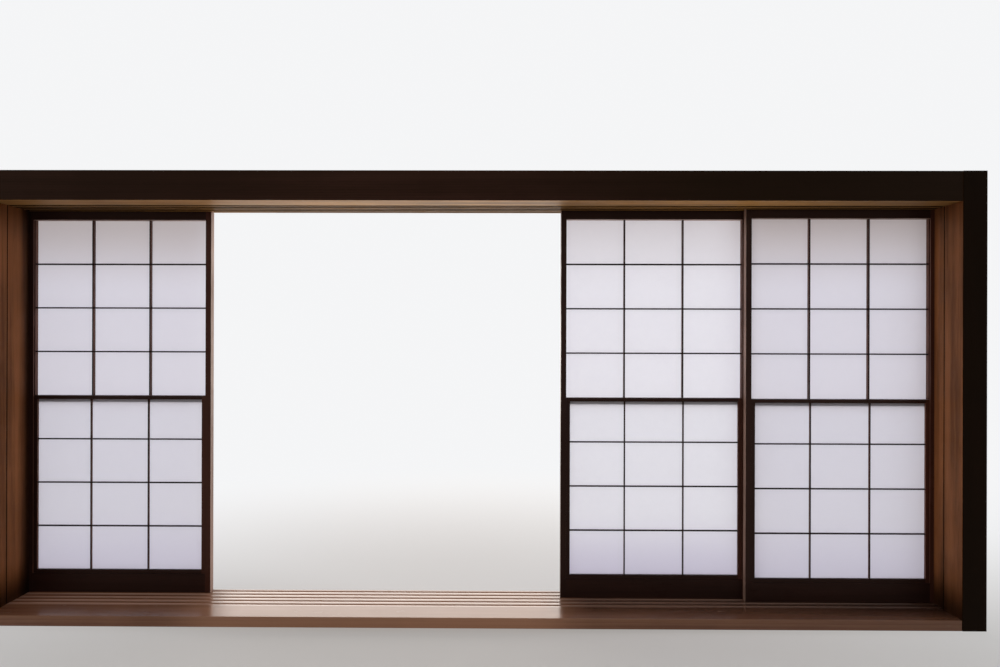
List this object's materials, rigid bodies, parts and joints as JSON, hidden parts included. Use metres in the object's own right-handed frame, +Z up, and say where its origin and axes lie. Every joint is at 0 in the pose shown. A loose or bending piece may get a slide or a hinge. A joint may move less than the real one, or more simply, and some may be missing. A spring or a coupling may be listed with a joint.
{
  "type": "shoji sliding screen",
  "caption": "Shoji screen in its timber frame: papered lattice panels with lifting lower sashes slide in a grooved sill and head between jambs and posts.",
  "frame": {"origin": "middle of the frame's footprint on the floor, under the sill", "axes": "+X to the right along the opening as seen from the room, +Y from the room to the outside, +Z up"},
  "size_m": [4.419, 0.325, 1.975],
  "materials": {
    "frame_wood": "dark stain, satin",
    "sill_wood": "reddish brown, polished",
    "panel_wood": "dark stain, satin",
    "lattice_wood": "dark stain, satin",
    "washi": "matt, translucent",
    "glass": "clear, polished",
    "spring_steel": "bright"
  },
  "bodies": {
    "frame": {"sill": "sill_wood", "head": "frame_wood", "head_beam": "frame_wood", "left_post": "frame_wood", "right_post": "frame_wood", "left_jamb": "frame_wood", "right_jamb": "frame_wood"},
    "left_panel": {"left_panel_left_stile": "panel_wood", "left_panel_right_stile": "panel_wood", "left_panel_top_rail": "panel_wood", "left_panel_middle_rail": "panel_wood", "left_panel_bottom_rail": "panel_wood", "left_panel_uprights": "lattice_wood", "left_panel_crossbars": "lattice_wood", "left_panel_paper": "washi", "left_panel_glass": "glass"},
    "left_sash": {"left_sash_left_stile": "panel_wood", "left_sash_right_stile": "panel_wood", "left_sash_top_rail": "panel_wood", "left_sash_bottom_rail": "panel_wood", "left_sash_uprights": "lattice_wood", "left_sash_crossbars": "lattice_wood", "left_sash_paper": "washi", "left_sash_springs": "spring_steel"},
    "middle_panel": {"middle_panel_left_stile": "panel_wood", "middle_panel_right_stile": "panel_wood", "middle_panel_top_rail": "panel_wood", "middle_panel_middle_rail": "panel_wood", "middle_panel_bottom_rail": "panel_wood", "middle_panel_uprights": "lattice_wood", "middle_panel_crossbars": "lattice_wood", "middle_panel_paper": "washi", "middle_panel_glass": "glass"},
    "middle_sash": {"middle_sash_left_stile": "panel_wood", "middle_sash_right_stile": "panel_wood", "middle_sash_top_rail": "panel_wood", "middle_sash_bottom_rail": "panel_wood", "middle_sash_uprights": "lattice_wood", "middle_sash_crossbars": "lattice_wood", "middle_sash_paper": "washi", "middle_sash_springs": "spring_steel"},
    "right_panel": {"right_panel_left_stile": "panel_wood", "right_panel_right_stile": "panel_wood", "right_panel_top_rail": "panel_wood", "right_panel_middle_rail": "panel_wood", "right_panel_bottom_rail": "panel_wood", "right_panel_uprights": "lattice_wood", "right_panel_crossbars": "lattice_wood", "right_panel_paper": "washi", "right_panel_glass": "glass"},
    "right_sash": {"right_sash_left_stile": "panel_wood", "right_sash_right_stile": "panel_wood", "right_sash_top_rail": "panel_wood", "right_sash_bottom_rail": "panel_wood", "right_sash_uprights": "lattice_wood", "right_sash_crossbars": "lattice_wood", "right_sash_paper": "washi", "right_sash_springs": "spring_steel"}
  },
  "joints": [
    {"name": "left_panel_slide", "type": "slide", "parent": "frame", "child": "left_panel", "axis": [1, 0, 0], "range_m": [0, 3.3502]},
    {"name": "left_sash_lift", "type": "slide", "parent": "left_panel", "child": "left_sash", "axis": [0, 0, 1], "range_m": [0, 0.829]},
    {"name": "middle_panel_slide", "type": "slide", "parent": "frame", "child": "middle_panel", "axis": [1, 0, 0], "range_m": [-2.5059, 0.8365]},
    {"name": "middle_sash_lift", "type": "slide", "parent": "middle_panel", "child": "middle_sash", "axis": [0, 0, 1], "range_m": [0, 0.829]},
    {"name": "right_panel_slide", "type": "slide", "parent": "frame", "child": "right_panel", "axis": [1, 0, 0], "range_m": [-3.3502, 0]},
    {"name": "right_sash_lift", "type": "slide", "parent": "right_panel", "child": "right_sash", "axis": [0, 0, 1], "range_m": [0, 0.829]}
  ]
}
